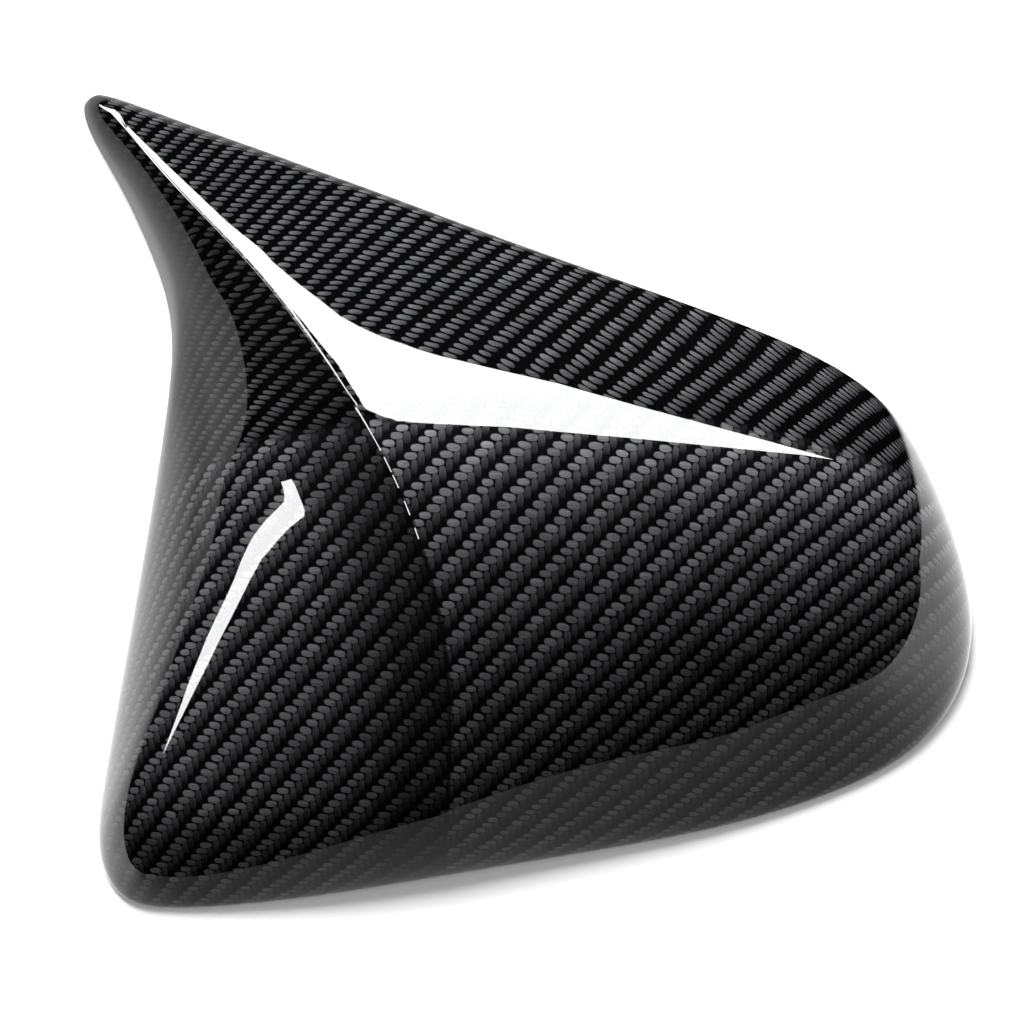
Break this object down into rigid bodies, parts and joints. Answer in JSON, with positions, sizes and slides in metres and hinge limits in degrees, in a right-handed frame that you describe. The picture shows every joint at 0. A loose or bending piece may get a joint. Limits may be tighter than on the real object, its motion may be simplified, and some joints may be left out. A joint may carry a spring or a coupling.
{
  "type": "wing mirror cover",
  "caption": "Moulded car wing mirror cover: a hollow shell with a soft shoulder ridge, a sharp curved crease, a stepped inboard panel and a horn-shaped inboard corner, open underneath.",
  "frame": {"origin": "middle of the rim's outline box, in the plane of the rim face the cover rests on", "axes": "+X from the inboard scooped edge to the rounded outboard end, +Y towards the edge the horn rises past, +Z out of the rim plane through the ridge, away from the hollow side"},
  "size_m": [0.256, 0.249, 0.081],
  "materials": {
    "shell": "black and dark grey twill cloth under a clear high-gloss coat, plain satin black inside"
  },
  "bodies": {
    "root": {"mirror_cover": "shell"}
  },
  "joints": []
}
